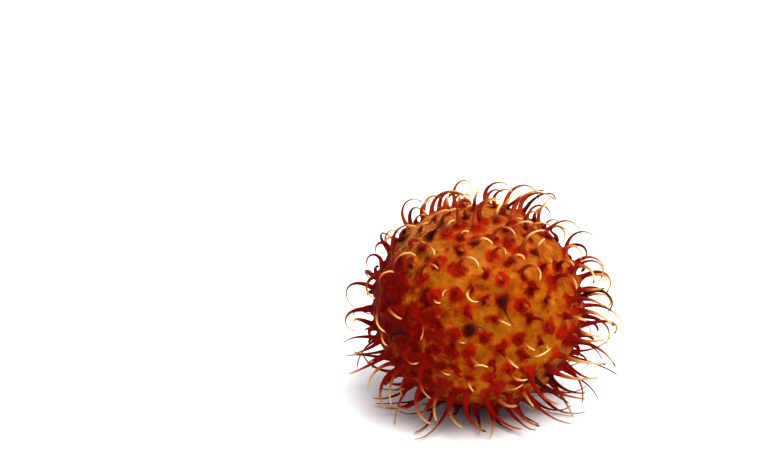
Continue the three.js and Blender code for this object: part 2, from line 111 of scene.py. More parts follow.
# The spines that stand out from the front, as an eye sees them from SIGHT_ELEVATION above the blossom end.
# Each has its root and its tip, across and up from the rind's middle, and how far it bows to the left. Its
# group starts with how high the spines arch over the rind, and how much thicker than plain ones they are.
SIGHT_ELEVATION = radians(17)
SIGHT_DISTANCE = 330.0
NEAREST = -3.5  # how much nearer to the eye than its root a placed spine may bend
FURTHEST = 1.5  # how much further
ARCH_SPAN = 0.8  # the share of a whole arch that a placed spine follows
TIP_LEAN = (1.0, 4.0)  # how far its tip leans from that arch towards the eye
FULL_LEAN = 6.0  # a spine that reaches less far than this leans less
PLACED_SPINES = {
    "top": (3.5, 1.1, [
        (-12.4, 15.4, -9.6, 17.4, 1.2), (-8.2, 16.6, -5.0, 18.4, 1.0), (-3.0, 16.6, -1.2, 19.6, 0.8),
        (-13.7, 16.2, -10.8, 19.9, 3.1), (-10.3, 17.0, -1.3, 20.6, 3.4), (-6.0, 17.6, -5.8, 22.0, 0.2),
        (-4.5, 16.0, -3.6, 21.6, 0.3), (-0.9, 18.4, 0.3, 23.3, 0.4), (0.0, 15.4, 4.6, 20.6, 2.8),
        (2.0, 16.8, 3.8, 20.4, 2.2), (1.9, 19.3, 5.8, 23.6, 2.6), (4.0, 18.6, 6.7, 22.3, 2.4),
        (5.6, 17.4, 7.7, 22.3, 1.0), (7.0, 18.4, 8.5, 22.0, 0.3), (8.4, 16.0, 12.8, 22.6, 2.7),
        (9.9, 17.0, 14.8, 20.8, 3.3), (11.2, 14.6, 14.6, 21.5, 1.5), (12.4, 16.2, 13.4, 19.9, 1.7),
        (13.4, 13.6, 15.7, 16.6, 2.1), (15.6, 12.6, 17.0, 15.0, 2.6),
    ]),
    "shoulder": (3.0, 1.1, [
        (-11.4, 14.3, -9.2, 16.0, 0.8), (-6.2, 15.3, -4.4, 16.6, 0.6), (-13.6, 14.4, -12.6, 15.3, 0.3),
        (-10.4, 12.6, -7.7, 9.0, 0.7), (-13.2, 12.2, -9.1, 10.6, 0.8), (-3.8, 14.0, -1.6, 14.4, 0.5),
        (-0.2, 13.0, 2.9, 12.1, 0.8), (3.3, 13.3, 7.2, 14.0, 1.9), (6.2, 13.4, 10.6, 16.3, 1.6),
        (9.8, 13.4, 14.0, 15.8, 1.8), (8.0, 11.6, 13.0, 14.9, 1.2), (10.9, 10.4, 12.9, 13.3, 0.3),
        (16.4, 12.0, 22.4, 13.9, 2.0), (16.4, 10.0, 19.9, 9.3, 2.4), (15.9, 8.0, 18.6, 8.2, 1.1),
        (14.2, 5.8, 19.2, 3.6, 2.0), (12.9, 7.6, 14.4, 8.9, 0.3),
    ]),
    "left": (2.5, 1.2, [
        (-15.0, 13.0, -17.9, 12.3, -0.9), (-16.8, 10.6, -19.7, 10.0, -2.1), (-18.2, 8.2, -21.3, 7.4, -2.3),
        (-18.4, 5.6, -19.8, 1.2, -2.5), (-18.6, -0.3, -17.7, -5.3, -1.4), (-18.0, -5.0, -16.9, -8.1, -1.0),
        (-17.6, -7.2, -23.8, -9.5, 0.3), (-16.8, -8.8, -24.6, -13.5, 0.4),
        (-15.6, -10.4, -20.9, -16.2, -1.5), (-14.9, -12.2, -17.4, -20.2, -2.3),
        (-13.0, -11.4, -16.3, -19.3, -1.8), (-11.6, -13.4, -14.2, -18.1, -1.4),
        (-9.9, -11.6, -8.7, -18.0, -1.5),
    ]),
    "low": (2.0, 1.4, [
        (-9.4, -14.6, -8.5, -22.9, -2.8), (-8.0, -17.0, -10.9, -21.6, 0.3),
        (-6.6, -15.4, -7.5, -22.3, -1.0), (-4.4, -16.8, -2.5, -23.4, -1.7), (-1.4, -16.2, 2.1, -24.2, -2.1),
        (1.8, -17.0, 8.9, -23.5, -1.7), (4.0, -15.4, 8.4, -18.8, -1.9), (6.6, -16.4, 12.4, -22.9, -1.4),
        (8.6, -14.4, 11.2, -19.2, -0.3), (10.2, -12.4, 15.8, -18.6, -1.3), (14.6, -11.0, 22.8, -13.4, -1.2),
    ]),
    "right": (2.5, 1.3, [
        (17.6, 6.6, 22.4, 4.7, 2.6), (18.4, 3.6, 24.6, 3.9, -0.2), (17.6, 1.4, 25.0, 0.1, 1.0),
        (18.8, -0.9, 26.5, -3.5, 1.2), (16.9, -1.4, 21.3, -2.5, 0.2), (18.6, -3.6, 24.0, -5.4, -0.4),
        (16.9, -5.2, 24.8, -5.9, -0.9), (16.6, -7.6, 26.9, -11.3, 2.2), (15.4, -9.6, 25.2, -10.7, -0.4),
    ]),
    "face": (2.6, 1.0, [
        (-13.3, 8.4, -12.2, 7.4, 0.4), (-11.2, 5.4, -7.4, 6.6, 2.2), (-8.0, 9.0, -7.2, 8.0, 0.2),
        (-4.0, 7.6, 0.3, 7.7, 2.0), (-3.6, 11.4, -2.9, 10.6, 0.2), (1.8, 6.5, 0.9, 7.6, -0.2),
        (3.7, 10.0, 5.4, 10.0, 1.6), (6.5, 9.3, 9.2, 8.8, 1.3), (5.1, 5.4, 4.2, 5.8, 0.1),
        (8.2, 6.4, 11.9, 5.0, 2.7), (10.7, 3.6, 12.0, 3.5, 0.2), (13.7, 1.6, 14.2, 0.5, 0.2),
        (9.0, 0.6, 9.8, 0.1, 0.1), (1.4, 1.6, 2.3, 0.5, 0.2), (-1.2, 4.0, 0.3, 0.9, -1.5),
        (-4.2, 2.4, -6.7, 1.8, -1.2), (-8.6, 1.9, -7.0, 0.6, -0.6), (-8.7, -1.6, -7.0, -2.2, -0.2),
        (-2.3, -1.0, -0.9, -2.6, 0.2), (3.4, -2.2, 6.5, -3.6, 0.1), (10.6, -2.0, 12.8, -2.5, 0.2),
        (14.4, -4.2, 13.6, -2.9, 0.2), (-13.0, -1.4, -10.8, -6.7, 1.4), (-12.8, -8.2, -11.2, -11.1, -1.9),
        (-8.4, -5.8, -7.2, -6.6, 0.2), (-4.6, -5.6, -1.8, -7.0, -0.7), (2.0, -5.7, 3.9, -7.1, -0.6),
        (-5.2, -9.2, -5.0, -10.9, 0.2), (-1.5, -8.7, 0.5, -11.0, -0.6), (5.0, -8.2, 8.2, -11.8, -0.4),
        (8.8, -5.8, 11.3, -8.3, -0.4), (9.4, -9.6, 14.3, -7.8, -0.8), (12.9, -6.6, 13.8, -7.9, 0.2),
        (-8.0, -12.0, -4.5, -13.3, -0.5), (-4.2, -12.4, -2.7, -13.7, -0.4), (-0.8, -12.2, 2.6, -11.9, 0.6),
        (2.9, -11.2, 3.4, -12.9, 0.6), (2.6, -14.2, 9.1, -14.9, -1.6), (6.4, -12.2, 10.0, -13.9, -1.0),
        (-1.4, -14.6, -0.4, -16.4, -0.3),
    ]),
    "dried": (2.5, 1.1, [
        (-8.6, 14.0, -6.0, 15.4, 0.6), (5.3, 1.8, 7.2, -3.6, -0.6), (-1.7, -4.7, 1.8, -5.0, 1.0),
        (-14.8, 12.9, -12.5, 10.7, -0.7), (11.6, -13.4, 17.9, -18.3, -0.3),
        (14.4, -12.2, 19.0, -16.1, -1.1),
    ]),
    "ridge": (3.2, 1.2, [
        (3.2, 16.6, 4.8, 20.2, 0.5), (8.8, 15.8, 11.5, 18.2, 1.5), (10.8, 16.6, 13.2, 19.6, 1.0),
        (-6.6, 15.6, -3.2, 18.8, 1.4), (-11.0, 16.6, -9.2, 20.4, 1.2), (5.6, 14.6, 8.6, 17.0, 1.2),
    ]),
}

# The skin's mesh.
LAST_SHARE = 0.9999  # of a middle line: it still lies on the last step
BORDER_STEP = 0.032  # radians between points on the border of two spines' ground
GROUND_RINGS = 7
GROUND_CROWDING = 0.85  # below 1, the rings crowd towards the spine
COVER_RINGS = 16
SPINE_SIDES = 8
SPINE_RINGS = 18
FEWEST_RINGS = 6  # on the shortest spines
RING_CROWDING = 0.9  # below 1, a spine's rings crowd towards its tip
FIRST_RING = 1.25  # where a spine's first ring is, in heights of its mound
FIRST_THINNED = 0.08  # how far along the taper that ring is
FLATNESS = 0.8  # a spine's thickness, as a share of its width
GRAIN_HEIGHT = 0.2
MOUND_HEIGHT = 0.6
MOUND_VARIES = (0.7, 1.3)
MOUND_REACH = 2.1  # from the spine's middle to where its mound starts
MOUND_STEEPNESS = 2.2  # how much the mound's rise gathers at the spine; 1 is a cone
PATCH_REACH = 2.7  # from the spine's middle to where its colour ends
PATCH_OVAL = 0.4  # how far that colour strays from a circle to an oval
PATCH_CORNERS = 0.2  # and how far to three corners
PLAIN_TINT = 0.5  # of bare ground; each spine has its own tint, from 0 to 1
TINT_RISE = 2  # the ground has its spine's tint in full from half-way in
DRIED_SHARE = 0.05  # of the spiral's spines
BROKEN_TIP_RADIUS = 0.27
BROKEN_ALONG = 0.45  # where a whole spine has the colour that a broken one ends in

# The covers: ground that holds no spine. An edge, top or red has the distances from the cover's middle where
# it starts and where it is full. A rim, pip or collar has its distance and its width.
COVER_TINT = 0.3
COVER_RED_RISE = 3  # the redness sets in over the first third of the rings
REST_ROOT_EDGE = (REST_ROOT_RADIUS, 1.9)
REST_ROOT_DEPTH = 1.6  # how far the crushed root would stick out if the floor didn't cut it
REST_RED = (4.5, 2.5)
SCAR_EDGE = (SCAR_RADIUS + 0.15, SCAR_RADIUS - 0.25)
SCAR_RIM = (1.75, 0.32)
SCAR_PIP = (0, 0.6)  # the stub of the stalk's core
SCAR_COLLAR = (SCAR_RADIUS + 0.8, 0.4)  # the fold of rind round the disc
SCAR_HEIGHTS = (0.45, 0.9, 0.5, 0.5)  # of the disc, the rim, the pip and the collar
SCAR_RED = (4.4, 2.8)
SCAR_REDNESS = 0.8
SCAR_RELIEF_SHADE = (0, 1.5)  # heights where its cork gets the most painted shade and the most painted light
TWIN_EDGE = (TWIN_RADIUS + 0.1, TWIN_RADIUS - 0.3)
TWIN_TOP = (TWIN_RADIUS, 0.8)  # where its wrinkles show in its colour as painted shade and light
TWIN_RED = (4.2, 2.7)
TWIN_REDNESS = 0.75
TWIN_RELIEF_SHADE = (-0.7, 0.9)  # wrinkles where its cork gets the most painted shade and the most painted light

# Layers of small unevenness: how high each is, and its waves to the millimetre.
GROUND_SWELLS = ((1.0, 0.33), (0.6, 0.9))
SCAR_FIBRES = ((0.5, 1.9), (0.3, 4.5))
SCAR_RAGGED = ((0.25, 0.45),)
SCAR_RIM_VARIES = ((0.6, 0.9),)
SCAR_COLLAR_VARIES = ((0.8, 0.7),)
TWIN_WRINKLES = ((0.9, 0.8), (0.7, 1.9))
TWIN_RAGGED = ((0.3, 0.5),)

GOLDEN_ANGLE = pi * (3 - sqrt(5))
UP = Vector((0, 0, 1))
DOWN = -UP
STALK = Vector((0, 1, 0))
TWIN = Vector((0, cos(TWIN_TILT), sin(TWIN_TILT)))
HALF = Vector((RIND_WIDTH / 2, RIND_LENGTH / 2, RIND_HEIGHT / 2))
RIND_CENTRE = Vector((0, 0, REST_GAP + HALF.z))
SIGHT = Vector((0, -cos(SIGHT_ELEVATION), sin(SIGHT_ELEVATION)))
SIGHT_UP = Vector((0, sin(SIGHT_ELEVATION), cos(SIGHT_ELEVATION)))
EYE = RIND_CENTRE + SIGHT * SIGHT_DISTANCE

# The photograph's frame in pixels, and where the rind's middle lies in it.
PHOTO_SIZE = (775, 462)
FRUIT_PIXEL = (478, 305)
PIXELS_PER_MM = 5.15
SENSOR_WIDTH = 36.0

# The lights: the side that each comes from, its strength, and how broad it is in degrees.
LIGHTS = {
    "key": ((0.28, -0.38, 0.9), 4.45, 42),
    "overhead": ((-0.1, -0.1, 1.0), 1.15, 120),
}
SKY_STRENGTH = 0.35
FLOOR_REACH = 4.0  # metres
FLOOR_COLOUR = (0.96, 0.95, 0.97, 1)
FLOOR_ROUGHNESS = 0.8
FLOOR_SPECULAR = 0.1


# ---- numbers


class Draw:
    """What a spine's random numbers are for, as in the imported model. A stray takes three in a row."""

    SCATTER, START, PULL = 1, 4, 7
    LENGTH, SHORT, SHORT_LENGTH, CURL, SHARPNESS, TINT, MOUND, DRIED, OVAL, TWIST, LEAN, STOUT = range(10, 22)


def chance(spine, purpose):
    """A number from 0 to 1, always the same for one spine and purpose."""
    wave = sin(spine * 127.1 + purpose * 311.7 + 74.7) * 43758.5453
    return wave % 1


def stray(spine, purpose):
    """A small vector, always the same for one spine and purpose."""
    return Vector([chance(spine, purpose + k) - 0.5 for k in range(3)])


def between(low, high, share):
    return low + (high - low) * share


def smooth(low, high, value):
    share = min(max((value - low) / (high - low), 0.0), 1.0)
    return share * share * (3 - 2 * share)


def shares(vector, scale):
    """A vector divided by another, number by number."""
    return Vector((vector.x / scale.x, vector.y / scale.y, vector.z / scale.z))


# ---- shape


def rind_point(d):
    """The rind's surface in a direction from its centre."""
    taper = 1 + EGG_TAPER * d.y
    waves = sum(sin(x * d.x + y * d.y + z * d.z + start) for x, y, z, start in LUMP_WAVES)
    swell = 1 + LUMP * waves / 2
    return RIND_CENTRE + Vector((HALF.x * d.x * taper, HALF.y * d.y, HALF.z * d.z * taper)) * swell


def rind_normal(d):
    return shares(d, HALF).normalized()


def sight_ray(across, up):
    """The direction from the eye to a place in the front view."""
    return (RIND_CENTRE + Vector((across, 0, 0)) + SIGHT_UP * up - EYE).normalized()


def sight_depth(ray, height):
    """How far from the eye a ray meets the rind grown by a height, or passes nearest to its centre."""
    grown = HALF + Vector((height, height, height))
    start, way = shares(EYE - RIND_CENTRE, grown), shares(ray, grown)
    along, square = start.dot(way), way.length_squared
    inside = along * along - square * (start.length_squared - 1)
    return (-along - sqrt(max(inside, 0))) / square


def root_direction(row):
    """The direction from the rind's centre to a placed spine's root."""
    ray = sight_ray(*row[:2])
    return shares(EYE + ray * sight_depth(ray, 0) - RIND_CENTRE, HALF).normalized()


def spiral_directions():
    """A spiral of places along the fruit, a little scattered."""
    directions = []
    for i in range(SPIRAL_SPACES):
        y = 1 - (2 * i + 1) / SPIRAL_SPACES
        ring = sqrt(1 - y * y)
        turn = i * GOLDEN_ANGLE
        direction = Vector((ring * cos(turn), y, ring * sin(turn)))
        directions.append((direction + stray(i, Draw.SCATTER) * 2 * SCATTER).normalized())
    return directions


def placed_rows():
    """Each placed spine with its arch, its stoutness and its group."""
    groups = PLACED_SPINES.items()
    return [(row, arch, stout, group) for group, (arch, stout, rows) in groups for row in rows]


def spine_directions():
    """Where the spines grow: the placed roots, the spiral's between them, and the feet."""
    placed = [root_direction(row) for row, *_ in placed_rows()]
    directions = list(placed)
    for direction in spiral_directions():
        bare = direction.angle(STALK) < BARE_SCAR or direction.angle(TWIN) < BARE_TWIN
        bare = bare or direction.angle(DOWN) < BARE_REST
        if not bare and min(direction.angle(other) for other in placed) > PLACED_ROOM:
            directions.append(direction)
    return push_apart(directions + foot_directions())


def foot_directions():
    """Where the feet grow."""
    side, down = sin(FOOT_TILT), -cos(FOOT_TILT)
    return [Vector((side * cos(turn), side * sin(turn), down)) for turn in FOOT_TURNS]


def push_apart(directions):
    """The same directions, with those closer than ROOT_SPACING moved apart in pairs."""
    for _ in range(PUSH_ROUNDS):
        for i in range(len(directions)):
            for j in range(i):
                gap = directions[i] - directions[j]
                distance = gap.length
                if distance < ROOT_SPACING:
                    push = gap * ((ROOT_SPACING - distance) / (2 * distance))
                    directions[i] = (directions[i] + push).normalized()
                    directions[j] = (directions[j] - push).normalized()
    return directions


def spine_radius(t, tip=TIP_RADIUS):
    """A plain spine's radius at a share of its length."""
    return tip + (ROOT_RADIUS - tip) * (1 - t) ** TAPER


def keep_clear(point, t, length):
    """A curled spine stays off the rind, and a low one off the surface."""
    from_centre = point - RIND_CENTRE
    depth = shares(from_centre, HALF).length
    wanted = 1 + min(RIND_CLEARANCE, CLEARANCE_GAIN * t * length) / HALF.z
    if depth < wanted:
        point = RIND_CENTRE + from_centre * (wanted / depth)
    point.z = max(point.z, SURFACE_CLEARANCE + spine_radius(t))
    return point


def even_steps(points):
    """The same line with PATH_STEPS steps of one length, and that whole length."""
    reached = [0.0]
    for before, after in zip(points, points[1:]):
        reached.append(reached[-1] + (after - before).length)
    line, k = [], 0
    for step in range(PATH_STEPS + 1):
        wanted = reached[-1] * step / PATH_STEPS
        while k < len(points) - 2 and reached[k + 1] < wanted:
            k += 1
        line.append(points[k].lerp(points[k + 1], (wanted - reached[k]) / (reached[k + 1] - reached[k])))
    return line, reached[-1]


def softened(points):
    """The same line with its sharp bends rounded."""
    for _ in range(SOFTEN_ROUNDS):
        threes = zip(points, points[1:], points[2:])
        points = [points[0], *((before + here * 2 + after) / 4 for before, here, after in threes), points[-1]]
    return points


def arc_rays(row):
    """The directions from the eye along a placed spine's arc in the front view."""
    root_across, root_up, tip_across, tip_up, bow = row
    chord = hypot(tip_across - root_across, tip_up - root_up)
    half_turn = 2 * atan(2 * bow / chord)
    radius = chord / (2 * sin(half_turn))
    forth = ((tip_across - root_across) / chord, (tip_up - root_up) / chord)
    rays = []
    for step in range(PATH_STEPS + 1):
        turned = half_turn * (1 - 2 * step / PATH_STEPS)
        ahead = radius * (sin(half_turn) - sin(turned))
        left = radius * (cos(turned) - cos(half_turn))
        across = root_across + forth[0] * ahead - forth[1] * left
        rays.append(sight_ray(across, root_up + forth[1] * ahead + forth[0] * left))
    return rays


def placed_path(i, row, arch, direction):
    """The middle line and length of a placed spine: an arc in the front view that arches over the rind."""
    rays = arc_rays(row)
    root_depth = sight_depth(rays[0], 0)

    def depth_beyond_root(step):
        ray = rays[step]
        arched = sight_depth(ray, arch * sin(ARCH_SPAN * pi * step / PATH_STEPS))
        on_floor = (SURFACE_CLEARANCE + TIP_RADIUS - EYE.z) / ray.z
        return min(max(arched - root_depth, NEAREST), FURTHEST, on_floor - root_depth)

    middle, tip = depth_beyond_root(PATH_STEPS // 2), depth_beyond_root(PATH_STEPS)
    lean = between(*TIP_LEAN, chance(i, Draw.LEAN)) * min(dist(row[:2], row[2:4]) / FULL_LEAN, 1)
    points = []
    for k, ray in enumerate(rays):
        share = k / PATH_STEPS
        beyond = share * (4 * middle - tip) + share**2 * (2 * tip - 4 * middle - lean)
        points.append(EYE + ray * (root_depth + beyond))
    shift = rind_point(direction) - points[0]
    points = [point + shift * (1 - k / PATH_STEPS) ** 2 for k, point in enumerate(points)]
    line, length = even_steps(points)
    return softened([keep_clear(point, k / PATH_STEPS, length) for k, point in enumerate(line)]), length


def grown_length(i):
    """How long a spine of the spiral grew."""
    whole = between(*SPINE_LENGTH, chance(i, Draw.LENGTH))
    if chance(i, Draw.SHORT) >= SHORT_SHARE:
        return whole
    return whole * between(*SHORT_LENGTH, chance(i, Draw.SHORT_LENGTH))


def grown_path(i, direction):
    """The middle line and length of a spine of the spiral: up a little, then over to +X and down."""
    normal = rind_normal(direction)
    start = normal + (UP - normal * normal.z) * START_RISE + stray(i, Draw.START) * START_STRAY
    start.normalize()
    under = smooth(*UNDER_SLOPE, -normal.z)
    pull = Vector((SIDEWAYS_PULL, 0, -DOWN_PULL)) * (1 - under)
    pull += Vector((normal.x, normal.y, 0)).normalized() * UNDER_PULL * under + stray(i, Draw.PULL)
    way = (pull - start * pull.dot(start)).normalized()
    side = start.cross(way) * TWIST * (chance(i, Draw.TWIST) - 0.5)
    degrees = between(LEAST_CURL, MOST_CURL, smooth(*CURL_SLOPE, normal.z))
    curl = radians(degrees * between(*CURL_VARIES, chance(i, Draw.CURL)))
    sharpness = between(*CURL_SHARPNESS, chance(i, Draw.SHARPNESS))
    length = grown_length(i)
    points = [rind_point(direction)]
    for step in range(PATH_STEPS):
        t = (step + 0.5) / PATH_STEPS
        angle = curl * t**sharpness
        heading = (start * cos(angle) + way * sin(angle) + side * t).normalized()
        points.append(keep_clear(points[-1] + heading * (length / PATH_STEPS), t, length))
    return softened(points), length


def foot_path(turn, direction):
    """The middle line and length of a foot: out of the rind, then down."""
    root = rind_point(direction)
    spring = root + rind_normal(direction) * FOOT_SPRING
    tip = Vector((cos(turn), sin(turn), 0)) * FOOT_REACH
    points = []
    for step in range(PATH_STEPS + 1):
        share = step / PATH_STEPS
        points.append(root.lerp(spring, share).lerp(spring.lerp(tip, share), share))
    return even_steps(points)


def make_spines():
    """Every spine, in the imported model's order: the placed ones, the spiral's, then the feet."""
    placed = placed_rows()
    directions = spine_directions()
    first_foot = len(directions) - len(FOOT_TURNS)
    spines = []
    for i, direction in enumerate(directions):
        spine = SimpleNamespace(site=direction, dried=0.0, stout=between(*STOUT, chance(i, Draw.STOUT)))
        if i < len(placed):
            row, arch, spine.stout, group = placed[i]
            spine.points, spine.length = placed_path(i, row, arch, direction)
            spine.dried = float(group == "dried")
        elif i < first_foot:
            spine.points, spine.length = grown_path(i, direction)
            spine.dried = float(chance(i, Draw.DRIED) < DRIED_SHARE)
        else:
            spine.points, spine.length = foot_path(FOOT_TURNS[i - first_foot], direction)
        spine.tint = chance(i, Draw.TINT)
        spine.mound = MOUND_HEIGHT * between(*MOUND_VARIES, chance(i, Draw.MOUND))
        spine.turned = tau * chance(i, Draw.OVAL)
        spine.broken = spine.length < SPINE_LENGTH[0] * SHORT_LENGTH[1]
        spines.append(spine)
    return spines


def along_path(points, share):
    """The place and heading at a share of a path, from 0 at the root to 1 at the tip."""
    exact = min(share, LAST_SHARE) * PATH_STEPS
    step = int(exact)
    before, after = points[max(step - 1, 0)], points[min(step + 2, PATH_STEPS)]
    here, following = points[step], points[step + 1]
    rest = exact - step
    place = here.lerp(following, rest)
    heading = (following - before).lerp(after - here, rest).normalized()
    return place, heading


# ---- the skin's mesh


class Skin:
    """The mesh as it grows: places in millimetres, faces, and the values that its material reads."""

    VALUES = ("near", "along", "tint", "dried", "woody", "swell")

    def __init__(self):
        self.places = []
        self.faces = []
        self.values = {name: [] for name in self.VALUES}

    def add(self, place, near=0.0, along=0.0, tint=PLAIN_TINT, dried=0.0, woody=0.0, swell=0.5):
        """Adds a point, which never lies under the floor, and gives its number."""
        self.places.append((place.x, place.y, max(place.z, 0.0)))
        for name, value in zip(self.VALUES, (near, along, tint, dried, woody, swell)):
            self.values[name].append(value)
        return len(self.places) - 1

    def band(self, lower, upper):
        """Joins two loops of the same count."""
        for k in range(len(lower)):
            n = (k + 1) % len(lower)
            self.faces.append((lower[k], lower[n], upper[n], upper[k]))

    def close(self, loop, tip):
        """Joins a loop to one point."""
        for k in range(len(loop)):
            self.faces.append((loop[k], loop[(k + 1) % len(loop)], tip))

    def stitch(self, outer, outer_turns, inner, inner_turns):
        """Joins two loops of different counts by their turns. The inner one starts at turn 0."""
        first = min(outer_turns)
        start = outer_turns.index(first)
        far = [(turn - first) % tau for turn in outer_turns[start:] + outer_turns[:start]] + [tau]
        near = [*inner_turns, tau]
        outer = [*outer[start:], *outer[:start + 1]]
        inner = [*inner, inner[0]]
        i = j = 0
        while i < len(outer_turns) or j < len(inner_turns):
            if j == len(inner_turns) or (i < len(outer_turns) and far[i + 1] <= near[j + 1]):
                self.faces.append((outer[i], outer[i + 1], inner[j]))
                i += 1
            else:
                self.faces.append((outer[i], inner[j + 1], inner[j]))
                j += 1

    def build(self, name):
        """The mesh as an object in the scene, in metres."""
        mesh = bpy.data.meshes.new(name)
        mesh.from_pydata([(x * MM, y * MM, z * MM) for x, y, z in self.places], [], self.faces)
        for value, numbers in self.values.items():
            made = mesh.attributes.new(value, "FLOAT", "POINT")
            made.data.foreach_set("value", numbers)
        mesh.validate()
        mesh.shade_smooth()
        return add_to_scene(name, mesh)


def hull_triangles(sites):
    """The triangles between neighbouring directions, facing outwards."""
    bm = bmesh.new()
    for site in sites:
        bm.verts.new(site)
    bm.verts.index_update()
    bmesh.ops.convex_hull(bm, input=bm.verts)
    bmesh.ops.triangulate(bm, faces=bm.faces)
    triangles = []
    for face in bm.faces:
        a, b, c = (vertex.index for vertex in face.verts)
        outwards = (sites[b] - sites[a]).cross(sites[c] - sites[a]).dot(sites[a]) > 0
        triangles.append((a, b, c) if outwards else (a, c, b))
    bm.free()
    return sorted(triangles)


def unevenness(place, layers):
    """A height that varies smoothly from place to place."""
    return sum(height * noise.noise(place * waves) for height, waves in layers)


def ground_swell(direction):
    """The rind's unevenness in a direction, from about -1 in a hollow to 1 on a bump."""
    return unevenness(rind_point(direction), GROUND_SWELLS)


def ground_place(direction, rise=0.0):
    """The rind's uneven surface, raised by a height."""
    return rind_point(direction) + rind_normal(direction) * (GRAIN_HEIGHT * ground_swell(direction) + rise)


def ground_look(direction, distance):
    """The values of bare ground at a distance from the nearest spine's middle."""
    # The swell value paints shade in the hollows and light on the bumps of the rind.
    return {"near": max(1 - distance / PATCH_REACH, 0), "swell": 0.5 + 0.5 * ground_swell(direction)}


def ground_point(direction, site, skin):
    """A new point of bare ground, as its number in the skin and its direction."""
    look = ground_look(direction, direction.angle(site) * HALF.x)
    return skin.add(ground_place(direction), **look), direction


def border_points(start, end, site, skin):
    """New points along the border between two corners of a site's ground."""
    steps = max(1, round(start.angle(end) / BORDER_STEP))
    inner = [start.lerp(end, k / steps).normalized() for k in range(1, steps)]
    return [ground_point(direction, site, skin) for direction in inner]


def ground_loops(sites, skin):
    """For each site, the closed loop of points half-way to its neighbours, shared with them."""
    corners, corner_at, next_neighbour, neighbours = [], {}, {}, {}
    for a, b, c in hull_triangles(sites):
        middle = (sites[b] - sites[a]).cross(sites[c] - sites[a]).normalized()
        for site, neighbour, other in ((a, b, c), (b, c, a), (c, a, b)):
            corner_at[site, neighbour] = len(corners)
            next_neighbour[site, neighbour] = other
            neighbours.setdefault(site, []).append(neighbour)
        corners.append(ground_point(middle, sites[a], skin))
    borders, loops = {}, []
    for site, place in enumerate(sites):
        loop, neighbour = [], neighbours[site][0]
        for _ in neighbours[site]:
            here = corner_at[site, neighbour]
            neighbour = next_neighbour[site, neighbour]
            there = corner_at[site, neighbour]
            if (here, there) not in borders:
                borders[here, there] = border_points(corners[here][1], corners[there][1], place, skin)
                borders[there, here] = borders[here, there][::-1]
            loop += [corners[here], *borders[here, there]]
        loops.append(loop)
    return loops


def around(site, east):
    """A function that gives the direction at an angle from a site, on a turn counted from east."""
    north = site.cross(east)

    def direction(angle, turn):
        flat = east * cos(turn) + north * sin(turn)
        return site * cos(angle) + flat * sin(angle)

    return direction


def turn_of(direction, site, east):
    """The turn counted from east on which a direction lies."""
    return atan2(direction.dot(site.cross(east)), direction.dot(east)) % tau


def mound_share(distance, root_radius):
    """How far up the mound the skin is at a distance from the spine's middle, from 0 to 1."""
    share = min(max((MOUND_REACH - distance) / (MOUND_REACH - root_radius), 0), 1)
    return share**MOUND_STEEPNESS


def grow_mound(skin, spine, loop, east, shift):
    """The ground inside one loop, and the spine's mound, whose top is moved by the shift."""
    lower = [index for index, _ in loop]
    turns = [turn_of(edge, spine.site, east) for _, edge in loop]
    direction_at = around(spine.site, east)
    root_radius = ROOT_RADIUS * spine.stout
    for ring in range(1, GROUND_RINGS + 1):
        upper = []
        for (_, edge), turn in zip(loop, turns):
            inwards = ring / GROUND_RINGS
            angle = between(edge.angle(spine.site), root_radius / HALF.x, inwards**GROUND_CROWDING)
            direction, distance = direction_at(angle, turn), angle * HALF.x
            rise = mound_share(distance, root_radius)
            place = ground_place(direction, rise * spine.mound) + shift * rise
            look = ground_look(direction, distance * (1 + patch_outline(spine, turn) * inwards))
            tint = between(PLAIN_TINT, spine.tint, min(TINT_RISE * inwards, 1))
            upper.append(skin.add(place, tint=tint, dried=spine.dried * look["near"], **look))
        skin.band(lower, upper)
        lower = upper
    return lower, turns


def patch_outline(spine, turn):
    """How much nearer than a circle the colour round a spine ends on a turn, as a share."""
    oval = PATCH_OVAL * cos(2 * turn + spine.turned)
    return oval + PATCH_CORNERS * cos(3 * turn + spine.turned * 2)


def grow_spine(skin, spine, loop):
    """The skin inside one loop: the ground, the mound and the spine."""
    root, _ = along_path(spine.points, spine.mound / spine.length)
    bend = spine.points[PATH_STEPS // 2] - spine.points[0]
    east = (bend - spine.site * bend.dot(spine.site)).normalized()
    shift = root - spine.points[0] - rind_normal(spine.site) * spine.mound
    lower, turns = grow_mound(skin, spine, loop, east, shift)
    grow_shaft(skin, spine, lower, turns, east)


def grow_shaft(skin, spine, lower, turns, east):
    """The skin from the top of a spine's mound to its tip."""
    tip_radius = BROKEN_TIP_RADIUS if spine.broken else TIP_RADIUS
    start = spine.mound / spine.length * FIRST_RING
    ring_turns = [tau * k / SPINE_SIDES for k in range(SPINE_SIDES)]
    previous = rind_normal(spine.site)
    across = previous.cross(east).normalized()
    rings = max(FEWEST_RINGS, round(SPINE_RINGS * min(spine.length / SPINE_LENGTH[0], 1)))
    for ring in range(rings):
        grown = (ring / rings) ** RING_CROWDING
        share = between(start, 1, grown)
        place, heading = along_path(spine.points, share)
        across = previous.rotation_difference(heading) @ across
        previous = heading
        over = across.cross(heading)
        radius = spine.stout * spine_radius(between(FIRST_THINNED, 1, grown), tip_radius)
        along = share * BROKEN_ALONG if spine.broken else share
        upper = []
        for turn in ring_turns:
            offset = over * cos(turn) * FLATNESS + across * sin(turn)
            upper.append(skin.add(place + offset * radius, 1.0, along, spine.tint, spine.dried))
        if ring == 0:
            skin.stitch(lower, turns, upper, ring_turns)
        else:
            skin.band(lower, upper)
        lower = upper
    place, heading = along_path(spine.points, 1)
    skin.close(lower, skin.add(place + heading * radius, 1.0, along, spine.tint, spine.dried))


def cover_look(direction, woody, relief_shade, red):
    """The values of a cover's ground. Woody ground gets painted shade and light from its relief, from 0 to 1.
    """
    look = ground_look(direction, PATCH_REACH)
    return {"woody": woody, "swell": between(look["swell"], relief_shade, woody), "near": red, "tint": COVER_TINT}


